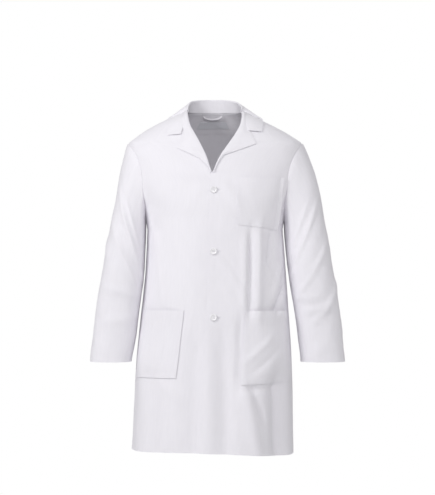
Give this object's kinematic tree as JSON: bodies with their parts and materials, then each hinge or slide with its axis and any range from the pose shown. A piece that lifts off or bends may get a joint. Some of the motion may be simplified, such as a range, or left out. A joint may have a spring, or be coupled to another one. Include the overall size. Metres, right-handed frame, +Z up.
{
  "type": "lab coat",
  "caption": "Knee-length buttoned lab coat with a notched collar, long set-in sleeves, patch pockets and a back vent, shaped as worn.",
  "frame": {"origin": "middle of the neck, level with the neck end of the shoulder seams, on the wearer's centre line", "axes": "+Z up along the wearer's body, -Y is the coat's front, +X is the wearer's left side"},
  "size_m": [0.711, 0.3009, 0.9892],
  "materials": {
    "coat_cloth": "smooth white poly-cotton twill",
    "lining_cloth": "white poly-cotton twill, inside face",
    "interfacing": "stiff woven interfacing",
    "button_plastic": "glossy white sewn-on buttons",
    "thread": "white sewing thread",
    "label_tape": "blank woven label"
  },
  "bodies": {
    "root": {"left_front": "coat_cloth", "right_front": "coat_cloth", "left_lapel": "coat_cloth", "right_lapel": "coat_cloth", "back_left": "coat_cloth", "back_right": "coat_cloth", "upper_collar": "coat_cloth", "chest_pocket": "coat_cloth", "left_lower_pocket": "coat_cloth", "right_lower_pocket": "coat_cloth", "left_facing": "lining_cloth", "right_facing": "lining_cloth", "left_hem": "lining_cloth", "right_hem": "lining_cloth", "back_left_hem": "lining_cloth", "back_right_hem": "lining_cloth", "vent_underlap": "lining_cloth", "back_neck_facing": "lining_cloth", "collar_stand": "lining_cloth", "under_collar": "lining_cloth", "locker_loop": "lining_cloth", "collar_interfacing": "interfacing", "button_top": "button_plastic", "button_middle": "button_plastic", "button_bottom": "button_plastic", "button_thread_top": "thread", "button_thread_middle": "thread", "button_thread_bottom": "thread", "neck_label": "label_tape"},
    "left_sleeve": {"left_sleeve": "coat_cloth", "left_cuff_hem": "lining_cloth"},
    "right_sleeve": {"right_sleeve": "coat_cloth", "right_cuff_hem": "lining_cloth"},
    "left_corner": {"left_front_corner": "coat_cloth", "left_corner_facing": "lining_cloth", "left_corner_hem": "lining_cloth"},
    "right_corner": {"right_front_corner": "coat_cloth", "right_corner_facing": "lining_cloth", "right_corner_hem": "lining_cloth"}
  },
  "joints": [
    {"name": "left_sleeve_lift", "type": "hinge", "parent": "root", "child": "left_sleeve", "pos_m": [0.246, 0, -0.096], "axis": [0, -1, 0], "range_deg": [0, 36]},
    {"name": "right_sleeve_lift", "type": "hinge", "parent": "root", "child": "right_sleeve", "pos_m": [-0.246, 0, -0.096], "axis": [0, 1, 0], "range_deg": [0, 36]},
    {"name": "left_corner_swing", "type": "hinge", "parent": "root", "child": "left_corner", "pos_m": [-0.019, -0.152, -0.6], "axis": [-0.4422, -0.0193, 0.8967], "range_deg": [0, 45], "stiffness_Nm_per_rad": 0.01, "springref_deg": -14.32},
    {"name": "right_corner_swing", "type": "hinge", "parent": "root", "child": "right_corner", "pos_m": [0.0135, -0.153, -0.69], "axis": [-0.5394, 0.0211, -0.8418], "range_deg": [0, 36]}
  ],
  "couplings": [
    {"joint": "right_corner_swing", "follows": "left_corner_swing", "ratio": 0.8}
  ]
}
